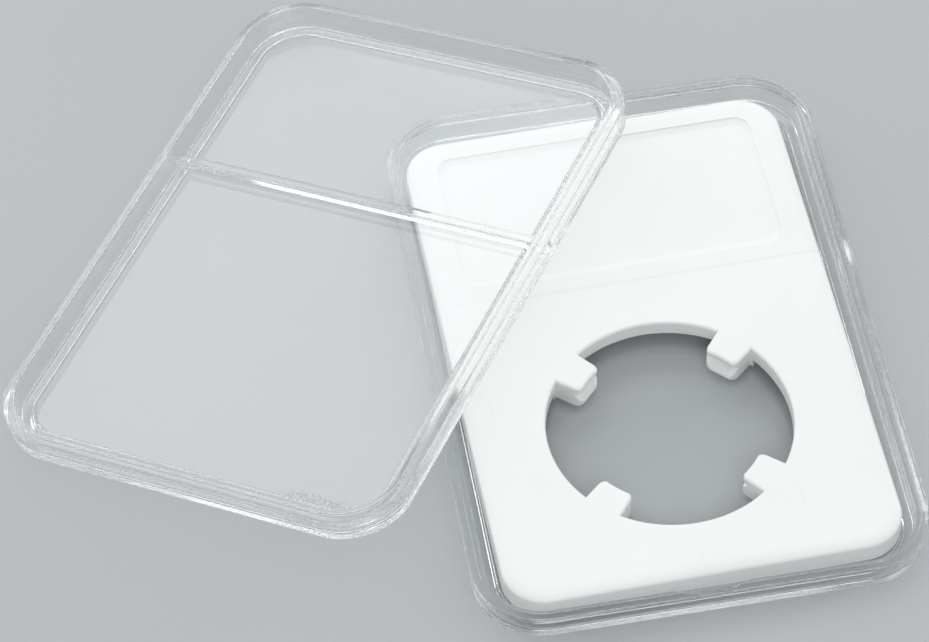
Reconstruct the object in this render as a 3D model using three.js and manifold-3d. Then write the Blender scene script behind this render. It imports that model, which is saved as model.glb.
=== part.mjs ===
// Snap-together display slab for one coin, opened: a clear base tray with the white insert lying
// in it, and the clear cover taken off and leaning on the base, inside up.
// Millimetres, +Z up, the long side of the base along Y, origin under the middle of the base.

import * as THREE from "three";
import { mergeVertices } from "three/addons/utils/BufferGeometryUtils.js";
import Module from "manifold-3d";

// Slab halves
const SLAB_WIDTH = 60;
const SLAB_LENGTH = 85;
const SLAB_CORNER_RADIUS = 9.2;
const BASE_WALL_HEIGHT = 4.35;
const COVER_WALL_HEIGHT = 4.0;
const PANEL_THICKNESS = 1.4;
const GUTTER_THICKNESS = 0.9;
const GUTTER_WIDTH = 1.7;
const PANEL_STEP_RUN = 0.4;
const WALL_THICKNESS = 1.75;
const WALL_DRAFT = 0.2;
const FOOT_FILLET = 0.35;
const BOTTOM_EDGE_RADIUS = 0.6;
const RIM_EDGE_RADIUS = 0.25;

// Half-round groove that frames the window on the outside of each half
const FRAME_GROOVE_INSET = 3.25;
const FRAME_GROOVE_RADIUS = 0.25;

// Interlocking rims: the base has a high outer band, the cover a lip that drops in behind it
const RIM_BAND_WIDTH = 1.05;
const LIP_HEIGHT = 0.5;
const LIP_SIDE_CLEARANCE = 0.1;
const LIP_END_CLEARANCE = 0.05;
const LIP_EDGE_CHAMFER = 0.12;

// Thumb notch in the front of the base's rim
const NOTCH_WIDTH = 10;
const NOTCH_DEPTH = 0.9;
const NOTCH_SKIN = 0.4;

// Divider rib across the inside of the cover, placed from the cover's far end
const RIB_FROM_END = 31.9;
const RIB_WIDTH = 1.5;
const RIB_HEIGHT = 1.25;
const RIB_TOP_CHAMFER = 0.2;

// White insert, smaller than the base's floor by a play on each side and at each end
const INSERT_SIDE_PLAY = 1.75;
const INSERT_END_PLAY = 2.1;
const INSERT_CORNER_RADIUS = 5.6;
const INSERT_HEIGHT = 3.6;
const PLATE_THICKNESS = 2.3;
const SKIRT_THICKNESS = 1.2;
const EDGE_BEVEL_RUN = 1.8;
const EDGE_BEVEL_DROP = 0.75;

// Label field of the insert, with the recess set in from its edges and from the cover's rib
const FIELD_DROP = 0.2;
const FIELD_CLEARANCE = 0.15;
const RECESS_SIDE_MARGIN = 4.5;
const RECESS_FAR_MARGIN = 3.65;
const RECESS_RIB_MARGIN = 1.25;
const RECESS_DEPTH = 0.18;
const RECESS_CORNER_RADIUS = 2;
const RECESS_SLOPE = 0.45;

// Coin opening and its four prongs: each has a lip over the coin's rim, an undercut that the rim
// sits in, and a long slope below it that runs out to a lower lip
const HOLE_FROM_END = 24.25;
const HOLE_DIAMETER = 32.6;
const COIN_DIAMETER = 27;
const PRONG_COUNT = 4;
const PRONG_GRIP = 0.9;
const PRONG_TIP_WIDTH = 4.7;
const PRONG_ROOT_WIDTH = 5.6;
const PRONG_TIP_CORNER = 1.1;
const PRONG_ROOT = 1.5;
const PRONG_DROP = 0.15;
const PRONG_EDGE_CHAMFER = 0.2;
const LIP_FACE_HEIGHT = 0.75;
const UNDERCUT_HEIGHT = 0.5;
const SEAT_CLEARANCE = 0.1;
const SEAT_HEIGHT = 0.2;
const LOWER_LIP_REACH = 0.2;
const LOWER_LIP_HEIGHT = 0.4;

// How the pieces lie: the insert loose in the base, the cover leaning on the base's far left corner
const LAY_GAP = 0.3;
const INSERT_LEFT_GAP = 0.5;
const INSERT_FRONT_GAP = 0.35;
const INSERT_TURN = 1.1;
const COVER_TURN = -34.7;
const COVER_REACH = 29;
const COVER_SLIP = -23.3;
const LEAN_GAP = 0.25;

// Fineness of the curves
const CORNER_STEPS = 12;
const HOLE_STEPS = 96;
const EDGE_STEPS = 3;
const GROOVE_STEPS = 4;

// Sizes that follow
const FLOOR_WIDTH = SLAB_WIDTH - 2 * (WALL_THICKNESS + WALL_DRAFT);
const FLOOR_LENGTH = SLAB_LENGTH - 2 * (WALL_THICKNESS + WALL_DRAFT);
const INSERT_WIDTH = FLOOR_WIDTH - 2 * INSERT_SIDE_PLAY;
const INSERT_LENGTH = FLOOR_LENGTH - 2 * INSERT_END_PLAY;
const RIB_Y = SLAB_LENGTH / 2 - RIB_FROM_END;
const HOLE_Y = HOLE_FROM_END - INSERT_LENGTH / 2;

const wasm = await Module();
wasm.setup();

const degrees = THREE.MathUtils.degToRad;

// Closed geometry and solids

function toSolid(geometry) {
  const bare = geometry.clone();
  bare.deleteAttribute("normal");
  bare.deleteAttribute("uv");
  const merged = mergeVertices(bare, 1e-5);
  return new wasm.Manifold(new wasm.Mesh({
    numProp: 3,
    vertProperties: Float32Array.from(merged.attributes.position.array),
    triVerts: Uint32Array.from(merged.index.array),
  }));
}

function toGeometry(solid) {
  const mesh = solid.getMesh();
  const geometry = new THREE.BufferGeometry();
  geometry.setAttribute("position", new THREE.BufferAttribute(mesh.vertProperties, 3));
  geometry.setIndex(new THREE.BufferAttribute(mesh.triVerts, 1));
  geometry.computeVertexNormals();
  return geometry;
}

// Round stretch of a profile, as [inset, height] points about a centre, angles in degrees
function roundStretch(inset, height, radius, from, to, steps = EDGE_STEPS) {
  const points = [];
  for (let step = 0; step <= steps; step++) {
    const angle = degrees(from + ((to - from) * step) / steps);
    points.push([inset + radius * Math.cos(angle), height + radius * Math.sin(angle)]);
  }
  return points;
}

// Rounded rectangle at one height, drawn in by the inset, counter-clockwise from the right side
function outline(width, length, radius, inset, height) {
  const corner = Math.max(radius - inset, 0.2);
  const x = width / 2 - inset - corner;
  const y = length / 2 - inset - corner;
  const centres = [[x, y], [-x, y], [-x, -y], [x, -y]];
  const ring = [];
  centres.forEach(([centreX, centreY], quarter) => {
    for (let step = 0; step <= CORNER_STEPS; step++) {
      const angle = degrees(90 * (quarter + step / CORNER_STEPS));
      ring.push(new THREE.Vector3(
        centreX + corner * Math.cos(angle),
        centreY + corner * Math.sin(angle),
        height,
      ));
    }
  });
  return ring;
}

// Solid swept round a rounded rectangle: the profile runs from the middle of the underside,
// out, up and back in to the middle of the top
function sweptSolid(width, length, radius, profile) {
  const rings = profile.map(([inset, height]) => outline(width, length, radius, inset, height));
  const count = rings[0].length;
  const points = [
    new THREE.Vector3(0, 0, profile[0][1]),
    ...rings.flat(),
    new THREE.Vector3(0, 0, profile[profile.length - 1][1]),
  ];
  const last = points.length - 1;
  const faces = [];
  for (let step = 0; step < count; step++) {
    const next = (step + 1) % count;
    faces.push(0, 1 + next, 1 + step);
    for (let ring = 0; ring < rings.length - 1; ring++) {
      const low = 1 + ring * count;
      const high = low + count;
      faces.push(low + step, low + next, high + next);
      faces.push(low + step, high + next, high + step);
    }
    faces.push(last - count + step, last - count + next, last);
  }
  const geometry = new THREE.BufferGeometry().setFromPoints(points);
  geometry.setIndex(faces);
  return toSolid(geometry);
}

// Section in X and Z, extruded along Y between two values
function barAlongY(shape, from, to) {
  const geometry = new THREE.ExtrudeGeometry(shape, { depth: to - from, bevelEnabled: false });
  geometry.rotateX(Math.PI / 2);
  geometry.translate(0, to, 0);
  return toSolid(geometry);
}

// Outline in X and Y, extruded up between two heights
function plateBetween(shape, low, high) {
  const geometry = new THREE.ExtrudeGeometry(shape, {
    depth: high - low,
    bevelEnabled: false,
    curveSegments: EDGE_STEPS * 2,
  });
  geometry.translate(0, 0, low);
  return toSolid(geometry);
}

function roundPlug(radius, low, high, steps) {
  const geometry = new THREE.CylinderGeometry(radius, radius, high - low, steps);
  geometry.rotateX(Math.PI / 2);
  geometry.translate(0, 0, (low + high) / 2);
  return toSolid(geometry);
}

// Clear halves of the slab

function outerWall(wallHeight) {
  return [
    ...roundStretch(FRAME_GROOVE_INSET, 0, FRAME_GROOVE_RADIUS, 0, 180, GROOVE_STEPS),
    ...roundStretch(WALL_DRAFT + BOTTOM_EDGE_RADIUS, BOTTOM_EDGE_RADIUS, BOTTOM_EDGE_RADIUS, 270, 180),
    ...roundStretch(RIM_EDGE_RADIUS, wallHeight - RIM_EDGE_RADIUS, RIM_EDGE_RADIUS, 180, 90),
  ];
}

function innerFloor() {
  const foot = WALL_THICKNESS + WALL_DRAFT;
  const panel = foot + GUTTER_WIDTH;
  return [
    ...roundStretch(foot + FOOT_FILLET, GUTTER_THICKNESS + FOOT_FILLET, FOOT_FILLET, 180, 270),
    [panel, GUTTER_THICKNESS],
    [panel + PANEL_STEP_RUN, PANEL_THICKNESS],
  ];
}

function baseSolid() {
  const ledge = BASE_WALL_HEIGHT - LIP_HEIGHT - LIP_END_CLEARANCE;
  const tray = sweptSolid(SLAB_WIDTH, SLAB_LENGTH, SLAB_CORNER_RADIUS, [
    ...outerWall(BASE_WALL_HEIGHT),
    [RIM_BAND_WIDTH, BASE_WALL_HEIGHT],
    [RIM_BAND_WIDTH, ledge],
    [WALL_THICKNESS, ledge],
    ...innerFloor(),
  ]);
  const reach = WALL_THICKNESS - NOTCH_SKIN;
  const radius = (NOTCH_WIDTH ** 2 / 4 + reach ** 2) / (2 * reach);
  const scoop = roundPlug(radius, BASE_WALL_HEIGHT - NOTCH_DEPTH, BASE_WALL_HEIGHT + 1, HOLE_STEPS)
    .translate([0, -SLAB_LENGTH / 2 + NOTCH_SKIN + radius, 0]);
  return tray.subtract(scoop);
}

function coverSolid() {
  const lipTop = COVER_WALL_HEIGHT + LIP_HEIGHT;
  const lipFace = RIM_BAND_WIDTH + LIP_SIDE_CLEARANCE;
  const shell = sweptSolid(SLAB_WIDTH, SLAB_LENGTH, SLAB_CORNER_RADIUS, [
    ...outerWall(COVER_WALL_HEIGHT),
    [lipFace, COVER_WALL_HEIGHT],
    [lipFace, lipTop - LIP_EDGE_CHAMFER],
    [lipFace + LIP_EDGE_CHAMFER, lipTop],
    [WALL_THICKNESS - LIP_EDGE_CHAMFER, lipTop],
    [WALL_THICKNESS, lipTop - LIP_EDGE_CHAMFER],
    ...innerFloor(),
  ]);
  const half = SLAB_WIDTH / 2 - WALL_THICKNESS - WALL_DRAFT / 2;
  const root = PANEL_THICKNESS / 2;
  const top = PANEL_THICKNESS + RIB_HEIGHT;
  const section = new THREE.Shape([
    new THREE.Vector2(-RIB_WIDTH / 2, root),
    new THREE.Vector2(RIB_WIDTH / 2, root),
    new THREE.Vector2(RIB_WIDTH / 2, top - RIB_TOP_CHAMFER),
    new THREE.Vector2(RIB_WIDTH / 2 - RIB_TOP_CHAMFER, top),
    new THREE.Vector2(-RIB_WIDTH / 2 + RIB_TOP_CHAMFER, top),
    new THREE.Vector2(-RIB_WIDTH / 2, top - RIB_TOP_CHAMFER),
  ]);
  const rib = barAlongY(section, -half, half).rotate([0, 0, 90]).translate([0, RIB_Y, 0]);
  return shell.add(rib);
}

// White insert

// Soft top edge, [inset, height] points of a quarter ellipse
function softEdge() {
  const points = [];
  const steps = EDGE_STEPS + 2;
  for (let step = 0; step <= steps; step++) {
    const angle = degrees((90 * step) / steps);
    points.push([
      EDGE_BEVEL_RUN * (1 - Math.cos(angle)),
      INSERT_HEIGHT - EDGE_BEVEL_DROP * (1 - Math.sin(angle)),
    ]);
  }
  return points;
}

function labelField() {
  const near = RIB_Y - RIB_WIDTH / 2 - FIELD_CLEARANCE;
  const far = INSERT_LENGTH / 2 + 1;
  const side = INSERT_WIDTH / 2 + 1;
  const sheet = new THREE.Shape([
    new THREE.Vector2(-side, near),
    new THREE.Vector2(side, near),
    new THREE.Vector2(side, far),
    new THREE.Vector2(-side, far),
  ]);
  const floor = INSERT_HEIGHT - FIELD_DROP;
  const lowered = plateBetween(sheet, floor, INSERT_HEIGHT + 1);
  const recessWidth = INSERT_WIDTH - 2 * RECESS_SIDE_MARGIN;
  const recessFar = INSERT_LENGTH / 2 - RECESS_FAR_MARGIN;
  const recessNear = RIB_Y + RIB_WIDTH / 2 + RECESS_RIB_MARGIN;
  const recess = sweptSolid(recessWidth, recessFar - recessNear, RECESS_CORNER_RADIUS, [
    [RECESS_SLOPE, floor - RECESS_DEPTH],
    [0, floor],
    [0, INSERT_HEIGHT + 1],
  ]).translate([0, (recessFar + recessNear) / 2, 0]);
  return lowered.add(recess);
}

// Prong outline along +X from its rounded tip to its root under the plate
function prongOutline(tip) {
  const root = HOLE_DIAMETER / 2 + PRONG_ROOT;
  const tipHalf = PRONG_TIP_WIDTH / 2;
  const rootHalf = PRONG_ROOT_WIDTH / 2;
  const cornerShare = PRONG_TIP_CORNER / (root - tip);
  const cornerHalf = tipHalf + (rootHalf - tipHalf) * cornerShare;
  const shape = new THREE.Shape();
  shape.moveTo(root, -rootHalf);
  shape.lineTo(root, rootHalf);
  shape.lineTo(tip + PRONG_TIP_CORNER, cornerHalf);
  shape.quadraticCurveTo(tip, tipHalf, tip, tipHalf - PRONG_TIP_CORNER);
  shape.lineTo(tip, -tipHalf + PRONG_TIP_CORNER);
  shape.quadraticCurveTo(tip, -tipHalf, tip + PRONG_TIP_CORNER, -cornerHalf);
  shape.closePath();
  return shape;
}

// Ring that shapes the ends of all the prongs, about the middle of the opening: the coin's seat
// with the lip over it and the slope below it
function coinSeat(lip) {
  const seat = COIN_DIAMETER / 2 + SEAT_CLEARANCE;
  const undercut = INSERT_HEIGHT - LIP_FACE_HEIGHT - UNDERCUT_HEIGHT;
  const slopeEnd = LOWER_LIP_HEIGHT - PRONG_DROP;
  const above = INSERT_HEIGHT + 1;
  const points = [
    new THREE.Vector2(lip / 2, slopeEnd),
    new THREE.Vector2(lip - LOWER_LIP_REACH, slopeEnd),
    new THREE.Vector2(seat, undercut - SEAT_HEIGHT),
    new THREE.Vector2(seat, undercut),
    new THREE.Vector2(lip, INSERT_HEIGHT - LIP_FACE_HEIGHT),
    new THREE.Vector2(lip, INSERT_HEIGHT - PRONG_EDGE_CHAMFER),
    new THREE.Vector2(lip + PRONG_EDGE_CHAMFER, INSERT_HEIGHT),
    new THREE.Vector2(lip + PRONG_EDGE_CHAMFER, above),
    new THREE.Vector2(lip / 2, above),
    new THREE.Vector2(lip / 2, slopeEnd),
  ];
  const ring = new THREE.LatheGeometry(points, HOLE_STEPS);
  ring.rotateX(Math.PI / 2);
  return toSolid(ring);
}

function insertSolid() {
  const plateUnderside = INSERT_HEIGHT - PLATE_THICKNESS;
  const shell = sweptSolid(INSERT_WIDTH, INSERT_LENGTH, INSERT_CORNER_RADIUS, [
    [SKIRT_THICKNESS, plateUnderside],
    [SKIRT_THICKNESS, 0],
    [0, 0],
    ...softEdge(),
  ]);
  const lip = COIN_DIAMETER / 2 - PRONG_GRIP;
  const prong = plateBetween(prongOutline(lip - LOWER_LIP_REACH), -PRONG_DROP, INSERT_HEIGHT);
  const seat = coinSeat(lip);
  const opening = roundPlug(HOLE_DIAMETER / 2, -1, INSERT_HEIGHT + 1, HOLE_STEPS);
  let body = shell.subtract(opening.translate([0, HOLE_Y, 0]));
  for (let index = 0; index < PRONG_COUNT; index++) {
    const angle = (360 / PRONG_COUNT) * (index + 0.5);
    body = body.add(prong.rotate([0, 0, angle]).translate([0, HOLE_Y, 0]));
  }
  return body.subtract(seat.translate([0, HOLE_Y, 0])).subtract(labelField());
}

// How the cover leans

// Turn of a point about Z, in degrees
function turned(x, y, angle) {
  return new THREE.Vector2(x, y).rotateAround(new THREE.Vector2(), degrees(angle));
}

// Place of the turned insert, slid into the left front corner of the base
function insertShift() {
  const x = INSERT_WIDTH / 2 - INSERT_CORNER_RADIUS;
  const y = INSERT_LENGTH / 2 - INSERT_CORNER_RADIUS;
  const reachLeft = INSERT_CORNER_RADIUS - turned(-x, y, INSERT_TURN).x;
  const reachFront = INSERT_CORNER_RADIUS - turned(-x, -y, INSERT_TURN).y;
  return new THREE.Vector2(
    reachLeft + INSERT_LEFT_GAP - FLOOR_WIDTH / 2,
    reachFront + INSERT_FRONT_GAP - FLOOR_LENGTH / 2,
  );
}

// Tilt at which the underside passes over a point this far in from the line that it stands on
function leanOver(distance, height) {
  const rise = height - BOTTOM_EDGE_RADIUS;
  const reach = Math.hypot(distance, rise);
  return Math.atan2(rise, distance) + Math.asin((BOTTOM_EDGE_RADIUS + LEAN_GAP) / reach);
}

function coverPlacement() {
  const across = turned(1, 0, COVER_TURN);
  const along = turned(0, 1, COVER_TURN);
  const corner = new THREE.Vector2(
    -SLAB_WIDTH / 2 + SLAB_CORNER_RADIUS,
    SLAB_LENGTH / 2 - SLAB_CORNER_RADIUS,
  );
  const standing = corner.clone()
    .addScaledVector(across, -SLAB_CORNER_RADIUS - COVER_REACH + WALL_DRAFT + BOTTOM_EDGE_RADIUS)
    .addScaledVector(along, COVER_SLIP);
  const insertCorner = turned(
    -INSERT_WIDTH / 2 + INSERT_CORNER_RADIUS,
    INSERT_LENGTH / 2 - INSERT_CORNER_RADIUS,
    INSERT_TURN,
  ).add(insertShift());
  const rimDistance = corner.clone().sub(standing).dot(across) - SLAB_CORNER_RADIUS;
  const insertDistance = insertCorner.sub(standing).dot(across) - INSERT_CORNER_RADIUS;
  const tilt = Math.max(
    leanOver(rimDistance, BASE_WALL_HEIGHT),
    ...softEdge().map(([inset, height]) => (
      leanOver(insertDistance + inset, PANEL_THICKNESS + LAY_GAP + height)
    )),
  );
  return { standing, tilt };
}

// Pieces and their finishes

function clearPlastic() {
  return new THREE.MeshStandardMaterial({
    color: 0xdfe3e6,
    roughness: 0.06,
    metalness: 0,
    transparent: true,
    opacity: 0.35,
  });
}

function whitePlastic() {
  return new THREE.MeshStandardMaterial({ color: 0xf2f2f0, roughness: 0.45, metalness: 0 });
}

function piece(name, solid, material) {
  const mesh = new THREE.Mesh(toGeometry(solid), material);
  mesh.name = name;
  return mesh;
}

const base = piece("base_tray", baseSolid(), clearPlastic());

const insert = piece("coin_insert", insertSolid(), whitePlastic());
const insertPlace = insertShift();
insert.position.set(insertPlace.x, insertPlace.y, PANEL_THICKNESS + LAY_GAP);
insert.rotation.z = degrees(INSERT_TURN);

// The cover turns about the round of its standing edge, which lies on the table
const cover = piece("cover", coverSolid(), clearPlastic());
cover.position.set(
  SLAB_WIDTH / 2 - WALL_DRAFT - BOTTOM_EDGE_RADIUS,
  0,
  -BOTTOM_EDGE_RADIUS,
);
const placement = coverPlacement();
const leaning = new THREE.Group();
leaning.rotation.y = -placement.tilt;
leaning.add(cover);
const turnedCover = new THREE.Group();
turnedCover.rotation.z = degrees(COVER_TURN);
turnedCover.position.set(placement.standing.x, placement.standing.y, BOTTOM_EDGE_RADIUS);
turnedCover.add(leaning);

const slab = new THREE.Group();
slab.add(base, insert, turnedCover);

export default slab;
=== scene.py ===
"""Opened snap-together display slab for one coin: clear base, white insert and clear cover."""

import math

import bmesh
import bpy
from mathutils import Matrix, Vector


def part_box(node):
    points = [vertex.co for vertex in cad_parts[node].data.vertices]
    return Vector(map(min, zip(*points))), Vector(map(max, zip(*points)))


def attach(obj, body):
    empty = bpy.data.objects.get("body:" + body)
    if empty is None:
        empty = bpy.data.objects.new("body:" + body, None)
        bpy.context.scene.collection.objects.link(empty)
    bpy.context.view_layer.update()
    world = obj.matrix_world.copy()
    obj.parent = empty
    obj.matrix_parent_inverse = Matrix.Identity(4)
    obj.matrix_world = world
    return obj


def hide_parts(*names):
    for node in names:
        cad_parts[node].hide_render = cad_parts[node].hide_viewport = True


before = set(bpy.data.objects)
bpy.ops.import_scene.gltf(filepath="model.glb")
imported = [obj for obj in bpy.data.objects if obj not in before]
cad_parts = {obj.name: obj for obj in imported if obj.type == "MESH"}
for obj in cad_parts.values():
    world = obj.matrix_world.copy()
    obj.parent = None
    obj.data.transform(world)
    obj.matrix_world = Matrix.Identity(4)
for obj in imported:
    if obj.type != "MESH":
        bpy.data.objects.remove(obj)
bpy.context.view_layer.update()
MM = 0.001  # metres in a millimetre, the unit of the pieces' own sizes


# Camera
# A long lens looks down steeply from the front, a little from the left, as in the photograph.
# The values come from fitting the outlines of the three pieces at their real size.

PHOTO_WIDTH = 929
LENS_IN_PIXELS = 3822.8
VIEW_TURN = math.radians(8.35)
VIEW_DROP = math.radians(52.46)
VIEW_ROLL = math.radians(-1.86)
VIEW_DISTANCE = 518.6 * MM
AIM = Vector((-23.38, 9.77, 0)) * MM
SENSOR_WIDTH = 36


def camera_axes():
    """Right, up and forward of the camera, with its roll."""
    forward = Vector((
        math.sin(VIEW_TURN) * math.cos(VIEW_DROP),
        math.cos(VIEW_TURN) * math.cos(VIEW_DROP),
        -math.sin(VIEW_DROP),
    ))
    right = Vector((math.cos(VIEW_TURN), -math.sin(VIEW_TURN), 0))
    up = right.cross(forward)
    rolled_right = right * math.cos(VIEW_ROLL) + up * math.sin(VIEW_ROLL)
    rolled_up = up * math.cos(VIEW_ROLL) - right * math.sin(VIEW_ROLL)
    return rolled_right, rolled_up, forward


def make_camera():
    right, up, forward = camera_axes()
    data = bpy.data.cameras.new("camera")
    data.sensor_width = SENSOR_WIDTH
    data.lens = LENS_IN_PIXELS * SENSOR_WIDTH / PHOTO_WIDTH
    camera = bpy.data.objects.new("camera", data)
    turn = Matrix((right, up, -forward)).transposed()
    camera.matrix_world = Matrix.Translation(AIM - forward * VIEW_DISTANCE) @ turn.to_4x4()
    bpy.context.scene.collection.objects.link(camera)
    bpy.context.scene.camera = camera


make_camera()


# Base tray
# One clear polystyrene moulding, polished all over. Its rim has a high outer band and a lower ledge
# inside it, every edge is softened by the mould, and a thumb notch is scooped out of the front.

SLAB_CORNER = 9.2
BASE_WALL = 4.35
PANEL_TOP = 1.4
GUTTER_TOP = 0.9
GUTTER_WIDTH = 1.7
PANEL_STEP_RUN = 0.4
WALL_THICKNESS = 1.75
WALL_DRAFT = 0.2
BAND_WIDTH = 1.05
LEDGE_DROP = 0.55
GROOVE_INSET = 3.25
GROOVE_RADIUS = 0.25
NOTCH_WIDTH = 10
NOTCH_DEPTH = 0.9
NOTCH_SKIN = 0.4
UNDERSIDE_INSET = 6
PANEL_REACH = 3
WALL_FOOT_RADIUS = 0.6
RIM_RADIUS = 0.25
GUTTER_RADIUS = 0.35
SOFT_EDGE = 0.12
CRISP_EDGE = 0.08
SMALLEST_CORNER = 0.2
OVERCUT = 1

CORNER_STEPS = 24
FILLET_STEPS = 8
GROOVE_STEPS = 8
DISC_STEPS = 96
SHARP_ANGLE = math.radians(40)
FLAT_FACE_WEIGHT = 100

SCRATCH_RUNS = ((28, 0.0), (-49, 4.0))
SCRATCH_STRETCH = (1800, 70, 90)
SCRATCH_SPAN = (0.7, 0.76)
SCRATCH_DEPTH = 0.03
PATCH_SCALE = 90
PATCH_SPAN = (0.54, 0.66)
CLOUD_SCALE = 55
CLOUD_SPAN = (0.3, 0.7)
WAVE_SCALE = 120
SPECKLE_SPAN = (0.42, 0.58)
SCUFF_CORE = 0.55
SCUFF_ROUGHNESS = 0.5
CLEAR_IOR = 1.55
CLEAR_COLOUR = (0.97, 0.98, 0.98, 1)
THROUGH_COLOUR = (0.93, 0.94, 0.94, 1)


def fillet_profile(corners):
    """Points of a section with its corners, each (inset, height, radius), rounded off."""
    points = []
    for index, (inset, height, radius) in enumerate(corners):
        here = Vector((inset, height))
        if radius == 0 or index in (0, len(corners) - 1):
            points.append(here)
            continue
        back = (Vector(corners[index - 1][:2]) - here).normalized()
        ahead = (Vector(corners[index + 1][:2]) - here).normalized()
        half = back.angle(ahead) / 2
        centre = here + (back + ahead).normalized() * (radius / math.sin(half))
        start = here + back * (radius / math.tan(half)) - centre
        end = here + ahead * (radius / math.tan(half)) - centre
        sweep = start.angle_signed(end)
        for step in range(FILLET_STEPS + 1):
            points.append(centre + Matrix.Rotation(-sweep * step / FILLET_STEPS, 2) @ start)
    return points


def rounded_ring(width, length, corner, inset, height, steps=CORNER_STEPS):
    """Points of a rounded rectangle drawn in by the inset, counter-clockwise."""
    radius = max(corner - inset, SMALLEST_CORNER)
    x = width / 2 - inset - radius
    y = length / 2 - inset - radius
    ring = []
    for quarter, (side_x, side_y) in enumerate(((1, 1), (-1, 1), (-1, -1), (1, -1))):
        for step in range(steps + 1):
            angle = math.radians(90 * (quarter + step / steps))
            ring.append(Vector((
                side_x * x + radius * math.cos(angle),
                side_y * y + radius * math.sin(angle),
                height,
            )))
    return ring


def loft(rings):
    """Closed body through rings of equal count, from the lowest cap to the highest."""
    body = bmesh.new()
    made = [[body.verts.new(point) for point in ring] for ring in rings]
    count = len(rings[0])
    for low, high in zip(made, made[1:]):
        for step in range(count):
            after = (step + 1) % count
            body.faces.new((low[step], low[after], high[after], high[step]))
    body.faces.new(reversed(made[0]))
    body.faces.new(made[-1])
    return body


def as_object(name, body):
    """Object in metres from a body in millimetres."""
    bmesh.ops.scale(body, vec=(MM, MM, MM), verts=body.verts)
    mesh = bpy.data.meshes.new(name)
    body.to_mesh(mesh)
    body.free()
    made = bpy.data.objects.new(name, mesh)
    bpy.context.scene.collection.objects.link(made)
    return made


def combine(target, tool, operation, along=0):
    """Joins or cuts the target with the tool, moved along the piece, and deletes the tool."""
    tool.location.y = along * MM
    bpy.context.view_layer.update()
    change = target.modifiers.new("change", "BOOLEAN")
    change.object = tool
    change.operation = operation
    change.solver = "EXACT"
    graph = bpy.context.evaluated_depsgraph_get()
    old = target.data
    target.data = bpy.data.meshes.new_from_object(target.evaluated_get(graph))
    target.modifiers.clear()
    bpy.data.meshes.remove(old)
    bpy.data.meshes.remove(tool.data)


def smooth(made):
    """Smooth shading that keeps flat faces flat and hard edges hard."""
    made.data.shade_smooth()
    body = bmesh.new()
    body.from_mesh(made.data)
    for edge in body.edges:
        if len(edge.link_faces) == 2:
            edge.smooth = edge.calc_face_angle(0) < SHARP_ANGLE
    body.to_mesh(made.data)
    body.free()
    weighted = made.modifiers.new("flat faces", "WEIGHTED_NORMAL")
    weighted.keep_sharp = True
    weighted.weight = FLAT_FACE_WEIGHT


def outer_section(wall):
    """Corners of the outside of a half, from the groove under its floor to its rim."""
    turns = [math.pi * step / GROOVE_STEPS for step in range(GROOVE_STEPS + 1)]
    groove = [
        (GROOVE_INSET + GROOVE_RADIUS * math.cos(turn), GROOVE_RADIUS * math.sin(turn), 0)
        for turn in turns
    ]
    return [
        (UNDERSIDE_INSET, 0, 0),
        *groove,
        (WALL_DRAFT, 0, WALL_FOOT_RADIUS),
        (0, wall, RIM_RADIUS),
    ]


def inner_section():
    """Corners of the inside of a half, from its wall down to the window panel."""
    foot = WALL_THICKNESS + WALL_DRAFT
    return [
        (foot, GUTTER_TOP, GUTTER_RADIUS),
        (foot + GUTTER_WIDTH, GUTTER_TOP, SOFT_EDGE),
        (foot + GUTTER_WIDTH + PANEL_STEP_RUN, PANEL_TOP, SOFT_EDGE),
        (foot + GUTTER_WIDTH + PANEL_REACH, PANEL_TOP, 0),
    ]


def half_shell(name, width, length, corners):
    """One half of the slab, swept round its rounded outline."""
    profile = fillet_profile(corners)
    rings = [rounded_ring(width, length, SLAB_CORNER, point.x, point.y) for point in profile]
    return as_object(name, loft(rings))


def disc_plug(name, radius, low, high):
    """Upright disc between two heights."""
    turns = [2 * math.pi * step / DISC_STEPS for step in range(DISC_STEPS)]
    rings = [
        [Vector((radius * math.cos(turn), radius * math.sin(turn), z)) for turn in turns]
        for z in (low, high)
    ]
    return as_object(name, loft(rings))


base_low, base_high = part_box("base_tray")
SLAB_WIDTH = (base_high.x - base_low.x) / MM
SLAB_LENGTH = (base_high.y - base_low.y) / MM

base = half_shell("clear_base", SLAB_WIDTH, SLAB_LENGTH, [
    *outer_section(BASE_WALL),
    (BAND_WIDTH, BASE_WALL, SOFT_EDGE),
    (BAND_WIDTH, BASE_WALL - LEDGE_DROP, CRISP_EDGE),
    (WALL_THICKNESS, BASE_WALL - LEDGE_DROP, SOFT_EDGE),
    *inner_section(),
])
notch_reach = WALL_THICKNESS - NOTCH_SKIN
notch_radius = (NOTCH_WIDTH ** 2 / 4 + notch_reach ** 2) / (2 * notch_reach)
notch = disc_plug("notch", notch_radius, BASE_WALL - NOTCH_DEPTH, BASE_WALL + OVERCUT)
combine(base, notch, "DIFFERENCE", -SLAB_LENGTH / 2 + NOTCH_SKIN + notch_radius)
smooth(base)


def add_node(tree, kind, inputs=None, **settings):
    """Shader node with its settings, and its inputs set to a value or linked to an output."""
    made = tree.nodes.new("ShaderNode" + kind)
    for key, value in settings.items():
        setattr(made, key, value)
    for key, value in (inputs or {}).items():
        if isinstance(value, bpy.types.NodeSocket):
            tree.links.new(value, made.inputs[key])
        else:
            made.inputs[key].default_value = value
    return made


def node_group(name, inputs, outputs):
    """Empty shader node group, from inputs (name, kind, value) and outputs (name, kind)."""
    group = bpy.data.node_groups.new(name, "ShaderNodeTree")
    for label, kind, value in inputs:
        socket = group.interface.new_socket(label, in_out="INPUT", socket_type="NodeSocket" + kind)
        socket.default_value = value
    for label, kind in outputs:
        group.interface.new_socket(label, in_out="OUTPUT", socket_type="NodeSocket" + kind)
    return group, group.nodes.new("NodeGroupInput"), group.nodes.new("NodeGroupOutput")


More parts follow.
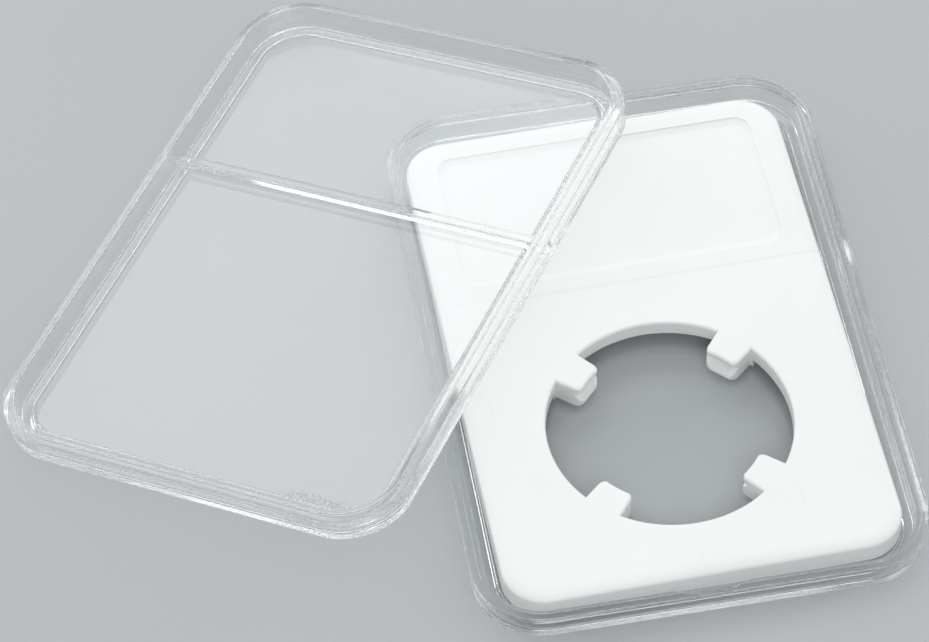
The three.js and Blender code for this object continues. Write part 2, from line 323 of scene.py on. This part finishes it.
def place_group(tree, group, inputs):
    made = add_node(tree, "Group", node_tree=group)
    for key, value in inputs.items():
        made.inputs[key].default_value = value
    return made


def span(tree, value, low, high, to_low=0, to_high=1):
    """Value stretched from one span to another, as an output."""
    return add_node(tree, "MapRange", {
        "Value": value, "From Min": low, "From Max": high, "To Min": to_low, "To Max": to_high,
    }).outputs["Result"]


def blend(tree, operation, first, second):
    return add_node(tree, "Math", {0: first, 1: second}, operation=operation).outputs["Value"]


def noise(tree, place, scale, detail):
    settings = {"Vector": place, "Scale": scale, "Detail": detail}
    return add_node(tree, "TexNoise", settings).outputs["Fac"]


def handling_wear():
    """Hairline scratches in two directions, cloudy roughness and a slow waviness of the surface."""
    group, given, result = node_group(
        "handling wear",
        [
            ("Smoothest", "Float", 0.03),
            ("Roughest", "Float", 0.07),
            ("Scratch Roughness", "Float", 0.1),
        ],
        [("Roughness", "Float"), ("Height", "Float"), ("Scratches", "Float")],
    )
    place = add_node(group, "TexCoord").outputs["Object"]
    scratches = 0.0
    for turn, shift in SCRATCH_RUNS:
        stretched = add_node(group, "Mapping", {
            "Vector": place,
            "Location": (shift, 0, 0),
            "Rotation": (0, 0, math.radians(turn)),
            "Scale": SCRATCH_STRETCH,
        }).outputs["Vector"]
        streak = span(group, noise(group, stretched, scale=1, detail=1), *SCRATCH_SPAN)
        scratches = blend(group, "MAXIMUM", scratches, streak)
    patches = span(group, noise(group, place, PATCH_SCALE, detail=2), *PATCH_SPAN)
    scratches = blend(group, "MULTIPLY", scratches, patches)
    cloud = span(group, noise(group, place, CLOUD_SCALE, detail=4), *CLOUD_SPAN)
    reach = blend(group, "SUBTRACT", given.outputs["Roughest"], given.outputs["Smoothest"])
    rough = blend(group, "ADD", given.outputs["Smoothest"], blend(group, "MULTIPLY", cloud, reach))
    rougher = blend(group, "MULTIPLY", scratches, given.outputs["Scratch Roughness"])
    rough = blend(group, "ADD", rough, rougher)
    wave = noise(group, place, WAVE_SCALE, detail=0)
    height = blend(group, "SUBTRACT", wave, blend(group, "MULTIPLY", scratches, SCRATCH_DEPTH))
    group.links.new(rough, result.inputs["Roughness"])
    group.links.new(height, result.inputs["Height"])
    group.links.new(scratches, result.inputs["Scratches"])
    return group


WEAR = handling_wear()


def scuffed_patch():
    """Speckled mask of a rubbed spot, as an ellipsoid about a centre on the piece."""
    group, given, result = node_group(
        "scuffed patch",
        [
            ("Centre", "Vector", (0, 0, 0)),
            ("Reach", "Vector", (1, 1, 1)),
            ("Speckle Scale", "Float", 2200),
        ],
        [("Mask", "Float")],
    )
    place = add_node(group, "TexCoord").outputs["Object"]
    offset = add_node(group, "VectorMath", {
        0: place, 1: given.outputs["Centre"],
    }, operation="SUBTRACT")
    share = add_node(group, "VectorMath", {
        0: offset.outputs["Vector"], 1: given.outputs["Reach"],
    }, operation="DIVIDE")
    distance = add_node(group, "VectorMath", {0: share.outputs["Vector"]}, operation="LENGTH")
    inside = span(group, distance.outputs["Value"], SCUFF_CORE, 1, to_low=1, to_high=0)
    grain = noise(group, place, given.outputs["Speckle Scale"], detail=2)
    speckle = span(group, grain, *SPECKLE_SPAN)
    group.links.new(blend(group, "MULTIPLY", inside, speckle), result.inputs["Mask"])
    return group


SCUFF = scuffed_patch()


def clear_plastic(name, scuffs=()):
    """Polished clear polystyrene with faint wear and scuffs, each (centre, reach) in millimetres."""
    material = bpy.data.materials.new(name)
    material.use_nodes = True
    tree = material.node_tree
    wear = place_group(tree, WEAR, {
        "Smoothest": 0.05, "Roughest": 0.09, "Scratch Roughness": 0.12,
    })
    rough = wear.outputs["Roughness"]
    for centre, reach in scuffs:
        scuff = place_group(tree, SCUFF, {
            "Centre": Vector(centre) * MM, "Reach": Vector(reach) * MM,
        })
        rougher = blend(tree, "MULTIPLY", scuff.outputs["Mask"], SCUFF_ROUGHNESS)
        rough = blend(tree, "ADD", rough, rougher)
    bump = add_node(tree, "Bump", {
        "Height": wear.outputs["Height"], "Strength": 0.1, "Distance": 0.01 * MM,
    })
    shader = tree.nodes["Principled BSDF"]
    shader.inputs["Base Color"].default_value = CLEAR_COLOUR
    shader.inputs["IOR"].default_value = CLEAR_IOR
    shader.inputs["Transmission Weight"].default_value = 1
    tree.links.new(rough, shader.inputs["Roughness"])
    tree.links.new(bump.outputs["Normal"], shader.inputs["Normal"])
    path = add_node(tree, "LightPath")
    through = add_node(tree, "BsdfTransparent", {"Color": THROUGH_COLOUR})
    surface = shader.outputs["BSDF"]
    for ray in ("Is Diffuse Ray", "Is Shadow Ray"):
        surface = add_node(tree, "MixShader", {
            "Fac": path.outputs[ray], 1: surface, 2: through.outputs["BSDF"],
        }).outputs["Shader"]
    tree.links.new(surface, tree.nodes["Material Output"].inputs["Surface"])
    return material


base.data.materials.append(clear_plastic("clear base plastic"))
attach(base, "base")
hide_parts("base_tray")


# Coin insert
# One white polystyrene moulding: a plate with a skirt under its edge, a lowered label field, and a
# round opening with four prongs. Each has a lip, an undercut for the coin's rim and a long slope.

INSERT_WIDTH = 52.6
INSERT_LENGTH = 76.9
INSERT_CORNER = 5.6
INSERT_TURN = math.radians(1.1)
PLATE = 2.3
SKIRT = 1.2
EDGE_RUN = 1.8
EDGE_DROP = 0.75
HOLE_RADIUS = 16.3
HOLE_FROM_END = 24.25
HOLE_EDGE = 0.4
SEAT_RADIUS = 13.6
LIP_RADIUS = 12.6
LIP_FACE_HEIGHT = 0.75
UNDERCUT_HEIGHT = 0.5
PRONG_TIP = 12.4
PRONG_TIP_HALF = 2.35
PRONG_ROOT_HALF = 2.8
PRONG_CORNER = 1.1
PRONG_ROOT = 1.5
PRONG_DROP = 0.15
PRONG_FOOT = 0.4
EDGE_SOFTNESS = 0.14
UNDER_PLATE_INSET = 3
SKIRT_FOOT = ((0.12, 0), (0.03, 0.04), (0, 0.12))
LOWER_LIP = 0.15
LOWER_LIP_RADIUS = 0.1
SEAT_HEIGHT = 0.2
SEAT_FILLET = 0.15
LIP_FILLET = 0.3
COLUMN_SPARE = 0.3
PLUG_CORE = 3
OPENING_OVERCUT = 0.5
RIB_FROM_END = 31.9
RIB_WIDTH = 1.5
FIELD_DROP = 0.2
RECESS_DEPTH = 0.18
RECESS_SLOPE = 0.8
RECESS_CORNER = 2
RECESS_SIDE_MARGIN = 4.5
RECESS_FAR_MARGIN = 3.65
RECESS_RIB_MARGIN = 1.25
RECESS_FLARE = 0.3
RECESS_FLARE_RISE = 0.05
FIELD_CLEARANCE = 0.25
FIELD_NEAR = SLAB_LENGTH / 2 - RIB_FROM_END - RIB_WIDTH / 2 - FIELD_CLEARANCE
FIELD_SLOPE = 0.3
FIELD_LEAD = 0.01
PAINTED_SHADE_REACH = 0.45

PRONG_TURNS = [math.radians(45 + 90 * prong) for prong in range(4)]
EDGE_STEPS = 8
LOWER_EDGE_STEPS = 4
ARC_STEPS = 24
SEAT_STEPS = 160
RECESS_STEPS = 8

WHITE = (0.88, 0.88, 0.87, 1)
WARMER_WHITE = (0.85, 0.85, 0.835, 1)
SCRATCHED_WHITE = (0.835, 0.835, 0.825, 1)
# Darker white of the painted shade along the label field's step.
PAINTED_SHADE_WHITE = (0.82, 0.82, 0.81, 1)

insert_low, insert_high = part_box("coin_insert")
INSERT_HEIGHT = (insert_high.z - insert_low.z) / MM - PRONG_DROP


def quarter_round(run, drop, steps=EDGE_STEPS):
    """Steps of a rounded edge, as (run from its foot, height under its top)."""
    turns = [math.pi / 2 * step / steps for step in range(steps + 1)]
    return [(run * (1 - math.cos(turn)), drop * (1 - math.sin(turn))) for turn in turns]


def insert_shell():
    edge = [(run, INSERT_HEIGHT - drop) for run, drop in quarter_round(EDGE_RUN, EDGE_DROP)]
    under = INSERT_HEIGHT - PLATE
    profile = [(UNDER_PLATE_INSET, under), (SKIRT, under), (SKIRT, 0), *SKIRT_FOOT, *edge]
    rings = [
        rounded_ring(INSERT_WIDTH, INSERT_LENGTH, INSERT_CORNER, inset, height)
        for inset, height in profile
    ]
    return as_object("white_insert", loft(rings))


def opening_outline(grow):
    """The opening's outline, larger by grow: a circle with four prongs standing into it."""
    radius = HOLE_RADIUS + grow
    tip = PRONG_TIP + grow
    widening = (PRONG_ROOT_HALF - PRONG_TIP_HALF) / (HOLE_RADIUS + PRONG_ROOT - PRONG_TIP)
    tip_half = PRONG_TIP_HALF - grow
    root_half = tip_half + widening * (math.sqrt(radius ** 2 - PRONG_ROOT_HALF ** 2) - tip)
    root_turn = math.asin(root_half / radius)
    bend = [
        Vector((tip + PRONG_CORNER, tip_half + widening * PRONG_CORNER)),
        Vector((tip, tip_half)),
        Vector((tip, tip_half - PRONG_CORNER)),
    ]
    side = [Vector((radius * math.cos(root_turn), root_half))]
    for step in range(EDGE_STEPS + 1):
        part = step / EDGE_STEPS
        side.append(bend[0].lerp(bend[1], part).lerp(bend[1].lerp(bend[2], part), part))
    arc = []
    for step in range(1, ARC_STEPS):
        turn = root_turn + (math.pi / 2 - 2 * root_turn) * step / ARC_STEPS
        arc.append((radius * math.cos(turn), radius * math.sin(turn)))
    local = [(x, -y) for x, y in side] + [(x, y) for x, y in reversed(side)] + arc
    points = []
    for turn in PRONG_TURNS:
        middle = Matrix.Rotation(turn, 2)
        points += [(middle @ Vector(point)).to_3d() for point in local]
    return points


def opening_cutter():
    """Plug of the opening, flared at both ends so that every edge that it cuts is round."""
    top, bottom = INSERT_HEIGHT, -PRONG_DROP
    lower = quarter_round(EDGE_SOFTNESS, EDGE_SOFTNESS, LOWER_EDGE_STEPS)
    levels = [
        (bottom - OPENING_OVERCUT, EDGE_SOFTNESS),
        *((bottom + rise, grow) for grow, rise in reversed(lower)),
        *((top - drop, grow) for grow, drop in quarter_round(HOLE_EDGE, HOLE_EDGE)),
        (top + OPENING_OVERCUT, HOLE_EDGE),
    ]
    rings = [
        [point + Vector((0, 0, height)) for point in opening_outline(grow)]
        for height, grow in levels
    ]
    return as_object("opening", loft(rings))


def prong_columns():
    """Blocks under the plate that the opening's cutter trims to the prongs."""
    near, far = PRONG_TIP - OVERCUT, HOLE_RADIUS + PRONG_ROOT
    half = PRONG_ROOT_HALF + COLUMN_SPARE
    corners = [(far, -half), (far, half), (near, half), (near, -half)]
    columns = []
    for turn in PRONG_TURNS:
        middle = Matrix.Rotation(turn, 3, "Z")
        rings = [
            [middle @ Vector((x, y, z)) for x, y in corners]
            for z in (-PRONG_DROP, INSERT_HEIGHT - OVERCUT)
        ]
        columns.append(as_object("prong", loft(rings)))
    return columns


def coin_seat():
    """Turned plug that shapes the ends of the prongs: slope, seat, lip and round top edge."""
    lip_under = INSERT_HEIGHT - LIP_FACE_HEIGHT
    undercut = lip_under - UNDERCUT_HEIGHT
    foot = PRONG_FOOT - PRONG_DROP
    section = fillet_profile([
        (PRONG_TIP - PLUG_CORE, foot, 0),
        (PRONG_TIP - LOWER_LIP, foot, LOWER_LIP_RADIUS),
        (SEAT_RADIUS, undercut - SEAT_HEIGHT, SEAT_FILLET),
        (SEAT_RADIUS, undercut, SEAT_FILLET),
        (LIP_RADIUS, lip_under, LIP_FILLET),
        (LIP_RADIUS, INSERT_HEIGHT, 0),
    ])[:-1]
    for grow, drop in quarter_round(HOLE_EDGE, HOLE_EDGE):
        section.append((LIP_RADIUS + grow, INSERT_HEIGHT - drop))
    section.append((LIP_RADIUS + HOLE_EDGE, INSERT_HEIGHT + OVERCUT))
    turns = [2 * math.pi * step / SEAT_STEPS for step in range(SEAT_STEPS)]
    rings = [[Vector((r * math.cos(t), r * math.sin(t), z)) for t in turns] for r, z in section]
    return as_object("seat", loft(rings))


def label_cutters():
    """Cutters of the lowered label field, behind its slope, and of the recess in it."""
    far = INSERT_LENGTH / 2 + OVERCUT
    above = INSERT_HEIGHT + OVERCUT
    floor = INSERT_HEIGHT - FIELD_DROP
    side = INSERT_WIDTH / 2 + OVERCUT
    section = [
        (FIELD_NEAR, above),
        (FIELD_NEAR, INSERT_HEIGHT + FIELD_LEAD),
        (FIELD_NEAR + FIELD_SLOPE, floor),
        (far, floor),
        (far, above),
    ]
    rings = [[Vector((x, y, z)) for y, z in section] for x in (-side, side)]
    field = as_object("field", loft([list(reversed(ring)) for ring in rings]))
    width = INSERT_WIDTH - 2 * RECESS_SIDE_MARGIN
    near = SLAB_LENGTH / 2 - RIB_FROM_END + RIB_WIDTH / 2 + RECESS_RIB_MARGIN
    far = INSERT_LENGTH / 2 - RECESS_FAR_MARGIN
    rings = []
    for inset, height in (
        (RECESS_SLOPE, floor - RECESS_DEPTH),
        (RECESS_SLOPE / 2, floor - RECESS_DEPTH / 2),
        (0, floor),
        (-RECESS_FLARE, floor + RECESS_FLARE_RISE),
        (-RECESS_FLARE, above),
    ):
        ring = rounded_ring(width, far - near, RECESS_CORNER, inset, height, RECESS_STEPS)
        rings.append([point + Vector((0, (far + near) / 2, 0)) for point in ring])
    return field, as_object("recess", loft(rings))


insert = insert_shell()
hole_middle = HOLE_FROM_END - INSERT_LENGTH / 2
for column in prong_columns():
    combine(insert, column, "UNION", hole_middle)
for cutter in (opening_cutter(), coin_seat()):
    combine(insert, cutter, "DIFFERENCE", hole_middle)
for cutter in label_cutters():
    combine(insert, cutter, "DIFFERENCE")
smooth(insert)
insert_middle = (insert_low + insert_high) / 2
insert.matrix_world = (
    Matrix.Translation((insert_middle.x, insert_middle.y, insert_low.z + PRONG_DROP * MM))
    @ Matrix.Rotation(INSERT_TURN, 4, "Z")
)


def moulded_grain():
    """Fine grain of a satin moulding, as a height, with a slow drift for colour and roughness."""
    group, given, result = node_group(
        "moulded grain",
        [("Grain Scale", "Float", 2500), ("Drift Scale", "Float", 40)],
        [("Height", "Float"), ("Drift", "Float")],
    )
    place = add_node(group, "TexCoord").outputs["Object"]
    grain = noise(group, place, given.outputs["Grain Scale"], detail=3)
    cloud = noise(group, place, given.outputs["Drift Scale"], detail=4)
    drift = span(group, cloud, *CLOUD_SPAN)
    group.links.new(grain, result.inputs["Height"])
    group.links.new(drift, result.inputs["Drift"])
    return group


GRAIN = moulded_grain()


def between(tree, share, first, second):
    """Colour mixed from one to the other by the share, as an output."""
    inputs = {"Fac": share, "Color1": first, "Color2": second}
    return add_node(tree, "MixRGB", inputs).outputs["Color"]


def white_plastic():
    """Satin white polystyrene with a fine grain, hairline scratches and a soft shade painted along
    the label field's step.
    """
    material = bpy.data.materials.new("white insert plastic")
    material.use_nodes = True
    tree = material.node_tree
    grain = place_group(tree, GRAIN, {"Grain Scale": 2200, "Drift Scale": 45})
    wear = place_group(tree, WEAR, {
        "Smoothest": 0.34, "Roughest": 0.46, "Scratch Roughness": 0.12,
    })
    colour = between(tree, grain.outputs["Drift"], WHITE, WARMER_WHITE)
    colour = between(tree, wear.outputs["Scratches"], colour, SCRATCHED_WHITE)
    place = add_node(tree, "TexCoord").outputs["Object"]
    along = add_node(tree, "SeparateXYZ", {"Vector": place}).outputs["Y"]
    # Painted shade: the white turns darker in a soft band across the plate, centred on the slope of
    # the label field's step.
    foot = (FIELD_NEAR + FIELD_SLOPE / 2) * MM
    rise = span(tree, along, foot - PAINTED_SHADE_REACH * MM, foot)
    fall = span(tree, along, foot + PAINTED_SHADE_REACH * MM, foot)
    colour = between(tree, blend(tree, "MULTIPLY", rise, fall), colour, PAINTED_SHADE_WHITE)
    height = blend(tree, "ADD", grain.outputs["Height"], wear.outputs["Height"])
    bump = add_node(tree, "Bump", {"Height": height, "Strength": 0.3, "Distance": 0.03 * MM})
    shader = tree.nodes["Principled BSDF"]
    tree.links.new(colour, shader.inputs["Base Color"])
    tree.links.new(wear.outputs["Roughness"], shader.inputs["Roughness"])
    tree.links.new(bump.outputs["Normal"], shader.inputs["Normal"])
    return material


insert.data.materials.append(white_plastic())
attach(insert, "insert")
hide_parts("coin_insert")


# Cover
# The second clear moulding, taken off and leaning inside up with one long edge on the table. Its
# wall is lower than the base's, with a lip that drops behind the base's band, and a rib inside.

COVER_WALL = 4.0
LIP_TOP = 4.5
LIP_FACE = 1.15
RIB_TOP = 2.65
RIB_DRAFT = 0.05
RIB_RADIUS = 0.2
RUBBED_SPOTS = [
    ((18.5, -38.6, 1.6), (7.5, 2.2, 2.6)),
    ((27.6, -31.5, 2), (1.2, 5.5, 2)),
]
FACING_DOWN = -0.9
SAME_FACING = 0.9999


def cover_rib():
    half = SLAB_WIDTH / 2 - WALL_THICKNESS - WALL_DRAFT / 2
    section = fillet_profile([
        (0, PANEL_TOP / 2, 0),
        (RIB_WIDTH / 2, PANEL_TOP / 2, 0),
        (RIB_WIDTH / 2 - RIB_DRAFT, RIB_TOP, RIB_RADIUS),
        (0, RIB_TOP, 0),
    ])
    outline = [(point.x, point.y) for point in section[1:-1]]
    outline += [(-x, z) for x, z in reversed(outline)]
    rings = [[Vector((x, y, z)) for y, z in outline] for x in (half, -half)]
    return as_object("rib", loft([list(reversed(ring)) for ring in rings]))


def cover_place():
    """Where the cover lies, read from the flat underside of its solid."""
    faces = list(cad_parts["cover"].data.polygons)
    down = max(faces, key=lambda face: face.area * (face.normal.z < FACING_DOWN)).normal
    under = [face for face in faces if face.normal.dot(down) > SAME_FACING]
    area = sum(face.area for face in under)
    centre = sum((face.center * face.area for face in under), Vector()) / area
    up = -down.normalized()
    across = Vector((-up.x, -up.y, 0)).normalized()
    along = Vector((0, 0, 1)).cross(across)
    right = along.cross(up)
    turn = Matrix((right, along, up)).transposed()
    return Matrix.Translation(centre) @ turn.to_4x4()


cover = half_shell("clear_cover", SLAB_WIDTH, SLAB_LENGTH, [
    *outer_section(COVER_WALL),
    (LIP_FACE, COVER_WALL, CRISP_EDGE),
    (LIP_FACE, LIP_TOP, SOFT_EDGE),
    (WALL_THICKNESS, LIP_TOP, SOFT_EDGE),
    *inner_section(),
])
combine(cover, cover_rib(), "UNION", SLAB_LENGTH / 2 - RIB_FROM_END)
smooth(cover)
cover.matrix_world = cover_place()
cover.data.materials.append(clear_plastic("clear cover plastic", RUBBED_SPOTS))
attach(cover, "cover")
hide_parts("cover")


# Floor and light
# A plain pale floor a hair under the object, soft lamps round and above it, and a pale surround that
# glass and gloss reflect. Light is guided far inside the rims, so it may bounce many times. Lamps
# and the floor's half are in metres.

FLOOR_DROP = 0.05
FLOOR_HALF = 3
FLOOR_GREY = (0.45, 0.46, 0.47, 1)
FLOOR_PALER = (0.47, 0.48, 0.49, 1)
FLOOR_ROUGHNESS = 0.55
SURROUND_COLOUR = (0.8, 0.82, 0.84, 1)
SURROUND_LIGHT = 0.75
SURROUND_SEEN = 0.4
LIGHT_BOUNCES = 64
LAMPS = [  # name, place, width, length and power
    ("top lamp", (0.0, 0.0, 0.9), 0.21, 0.21, 0.6),
    ("front lamp", (0.0, -0.7, 0.8), 0.6, 0.4, 2.2),
    ("far lamp", (0.0, 0.8, 0.22), 1.3, 0.08, 1.0),
    ("left lamp", (-0.6, 0.35, 0.35), 0.16, 0.5, 0.9),
    ("right lamp", (0.6, 0.35, 0.35), 0.16, 0.5, 0.9),
    ("panel lamp", (-0.1, 0.68, 0.62), 0.85, 0.27, 1.4),
]


def make_floor():
    body = bmesh.new()
    bmesh.ops.create_grid(body, x_segments=1, y_segments=1, size=FLOOR_HALF)
    mesh = bpy.data.meshes.new("floor")
    body.to_mesh(mesh)
    body.free()
    floor = bpy.data.objects.new("floor", mesh)
    bpy.context.scene.collection.objects.link(floor)
    material = bpy.data.materials.new("floor")
    material.use_nodes = True
    tree = material.node_tree
    grain = place_group(tree, GRAIN, {"Grain Scale": 900, "Drift Scale": 9})
    colour = between(tree, grain.outputs["Drift"], FLOOR_GREY, FLOOR_PALER)
    bump = add_node(tree, "Bump", {
        "Height": grain.outputs["Height"], "Strength": 0.15, "Distance": 0.05 * MM,
    })
    shader = tree.nodes["Principled BSDF"]
    shader.inputs["Roughness"].default_value = FLOOR_ROUGHNESS
    tree.links.new(colour, shader.inputs["Base Color"])
    tree.links.new(bump.outputs["Normal"], shader.inputs["Normal"])
    mesh.materials.append(material)
    floor.location.z = -FLOOR_DROP * MM


def soft_lamp(name, place, width, length, power):
    data = bpy.data.lights.new(name, "AREA")
    data.shape = "RECTANGLE"
    data.size = width
    data.size_y = length
    data.energy = power
    lamp = bpy.data.objects.new(name, data)
    lamp.location = place
    lamp.rotation_euler = (AIM - Vector(place)).to_track_quat("-Z", "Y").to_euler()
    bpy.context.scene.collection.objects.link(lamp)


def make_surround():
    """Pale surround, softer where it is seen, also in gloss and through glass, than as light."""
    world = bpy.data.worlds.new("surround")
    world.use_nodes = True
    tree = world.node_tree
    shade = tree.nodes["Background"]
    shade.inputs["Color"].default_value = SURROUND_COLOUR
    path = add_node(tree, "LightPath")
    seen = path.outputs["Is Camera Ray"]
    for ray in ("Is Glossy Ray", "Is Transmission Ray"):
        seen = blend(tree, "MAXIMUM", seen, path.outputs[ray])
    strength = span(tree, seen, 0, 1, SURROUND_LIGHT, SURROUND_SEEN)
    tree.links.new(strength, shade.inputs["Strength"])
    bpy.context.scene.world = world


make_floor()
for lamp in LAMPS:
    soft_lamp(*lamp)
make_surround()
cycles = bpy.context.scene.cycles
cycles.max_bounces = LIGHT_BOUNCES
cycles.glossy_bounces = LIGHT_BOUNCES
cycles.transmission_bounces = LIGHT_BOUNCES
bpy.context.scene.view_settings.view_transform = "Standard"
